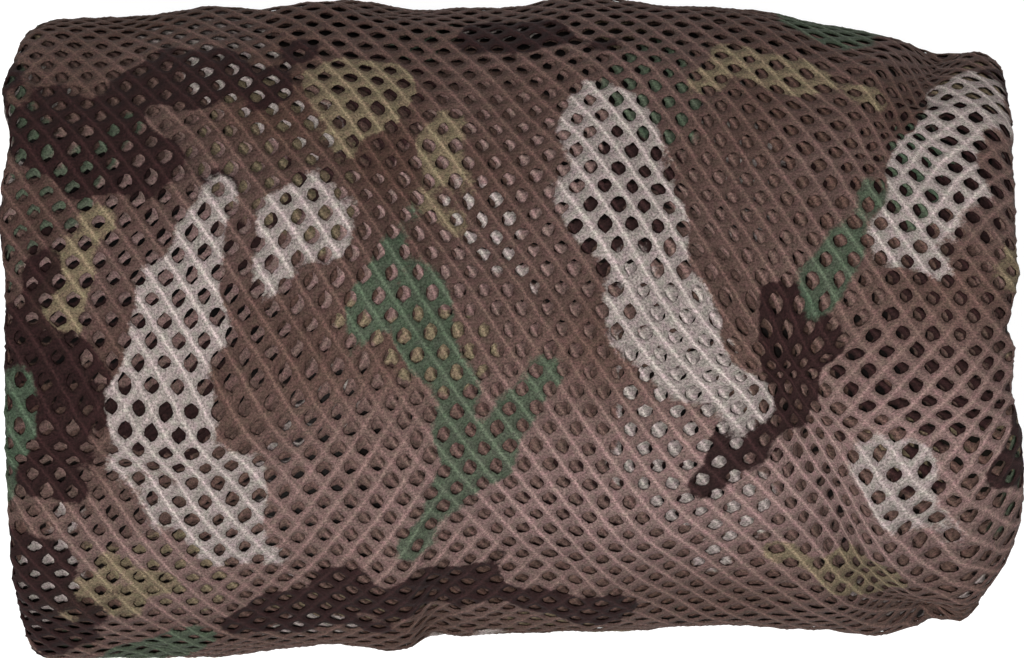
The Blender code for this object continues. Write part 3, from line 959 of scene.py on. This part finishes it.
def inner_plies():
    """The plies under the skin: the whole wound band, a little inside the mesh plies all round."""
    edge_in, edge_round, thinnest = 0.0005, 0.0042, 0.0003
    stations = np.concatenate([np.linspace(0.004, 1.0, 190), np.linspace(1.0, TURNS - 0.004, 210)[1:]])
    # once round the band: its outer face, the two bundles at the right, its inner face, the two at the left
    bend, bend_back = np.linspace(20.0, 160.0, 7), np.linspace(160.0, 20.0, 7)
    ring = [(-1.0 + 2.0 * k / 80, 0.0, "face") for k in range(81)]
    ring += [(a, level, "right") for level in (0.0, 1.0) for a in bend]
    ring += [(1.0 - 2.0 * k / 30, 1.0, "face") for k in range(31)]
    ring += [(a, level, "left") for level in (1.0, 0.0) for a in bend_back]
    points, cloth = [], []
    lengths = spiral_length(stations)
    left, right = between(EDGES, stations, 1), between(EDGES, stations, 2)
    share = np.clip(end_share_at(stations), LEAST_EDGE_SHARE, 1.0) * core_share_at(stations)
    top_drop = np.where(stations < COVERED_TURNS, INNER_FACE_DROP, 0.0002)
    bottom_drop = np.maximum(BAND_THICKNESS * share - thinnest, top_drop + thinnest)
    for where, level, kind in ring:
        if kind == "face":
            x = (left + right) / 2 + where * ((right - left) / 2 - (edge_in + edge_round))
            drop = top_drop if level == 0.0 else bottom_drop
            across = x
        else:
            side = 1.0 if kind == "right" else -1.0
            edge = right if side > 0 else left
            middle = top_drop + (bottom_drop - top_drop) * (0.27 if level == 0.0 else 0.73)
            half = (bottom_drop - top_drop) * 0.26
            angle = math.radians(where)
            x = edge - side * (edge_in + edge_round * (1 - math.sin(angle)))
            drop = middle - half * math.cos(angle)
            across = x + side * 0.004 * where / 90.0
        points.append(laid(x, stations, drop))
        cloth.append(np.column_stack([across, lengths, np.full(len(stations), 0.9)]))
    points = np.stack(points, axis=1)
    cloth = np.stack(cloth, axis=1)
    many, around = points.shape[:2]
    index = np.arange(many * around).reshape(many, around)
    after = np.roll(index, -1, axis=1)
    faces = np.stack([index[:-1], index[1:], after[1:], after[:-1]], axis=2).reshape(-1, 4).tolist()
    faces += [index[0].tolist()[::-1], index[-1].tolist()]
    obj = new_piece("net_inner_plies", points.reshape(-1, 3), faces, cloth_inner)
    flat = cloth.reshape(-1, 3)
    give_attributes(obj.data, flat, flat[:, :2] + np.array([0.14, 0.19]))
    return obj


inner = inner_plies()
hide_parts("net")


# ---------------------------------------------------------------- floor, light and camera
FLOOR_HALF = 3.0
FLOOR_GREY = 0.25
FLOOR_GLOW = 0.85           # light the floor gives off, so that it stays near white beside the roll
# name, place, what it points at, size, power
LAMPS = (
    ("key", (-0.50, -0.66, 2.2), (0, 0, 0.05), 0.9, 84.0),
    ("fill", (1.0, 1.1, 1.4), (0.1, 0.1, 0.0), 1.4, 21.0),
)
SURROUNDING_LIGHT = 0.45
CAMERA_HEIGHT = 6.0         # far off, with a long lens: almost no perspective
FRAME_WIDTH = 0.2014        # what the picture's width takes in, at the height of the roll's widest part
MIDDLE_HEIGHT = 0.055
SENSOR = 36.0


def floor():
    mesh = bpy.data.meshes.new("floor")
    corners = [(x * FLOOR_HALF, y * FLOOR_HALF, 0) for x, y in ((-1, -1), (1, -1), (1, 1), (-1, 1))]
    mesh.from_pydata(corners, [], [(0, 1, 2, 3)])
    obj = bpy.data.objects.new("floor", mesh)
    material = bpy.data.materials.new("pale_floor")
    material.use_nodes = True
    shader = material.node_tree.nodes["Principled BSDF"]
    shader.inputs["Base Color"].default_value = (FLOOR_GREY, FLOOR_GREY, FLOOR_GREY, 1.0)
    shader.inputs["Emission Color"].default_value = (1.0, 1.0, 1.0, 1.0)
    shader.inputs["Emission Strength"].default_value = FLOOR_GLOW
    shader.inputs["Roughness"].default_value = 0.9
    shader.inputs["Specular IOR Level"].default_value = 0.1
    mesh.materials.append(material)
    bpy.context.scene.collection.objects.link(obj)


def lamp(name, place, target, size, power):
    data = bpy.data.lights.new(name, "AREA")
    data.shape = "DISK"
    data.size = size
    data.energy = power
    obj = bpy.data.objects.new(name, data)
    obj.location = place
    direction = np.array(target) - np.array(place)
    obj.rotation_euler = Vector(direction.tolist()).to_track_quat("-Z", "Y").to_euler()
    bpy.context.scene.collection.objects.link(obj)


floor()
for settings in LAMPS:
    lamp(*settings)
world = bpy.data.worlds.new("studio")
bpy.context.scene.world = world
world.use_nodes = True
world.node_tree.nodes["Background"].inputs["Color"].default_value = (1.0, 1.0, 1.0, 1.0)
world.node_tree.nodes["Background"].inputs["Strength"].default_value = SURROUNDING_LIGHT

camera_data = bpy.data.cameras.new("camera")
camera_data.sensor_width = SENSOR
camera_data.lens = SENSOR * (CAMERA_HEIGHT - MIDDLE_HEIGHT) / FRAME_WIDTH
camera_data.clip_start, camera_data.clip_end = 0.1, 20.0
camera = bpy.data.objects.new("camera", camera_data)
camera.location = (0.0, 0.0, CAMERA_HEIGHT)
bpy.context.scene.collection.objects.link(camera)
bpy.context.scene.camera = camera
bpy.context.scene.view_settings.view_transform = "Standard"
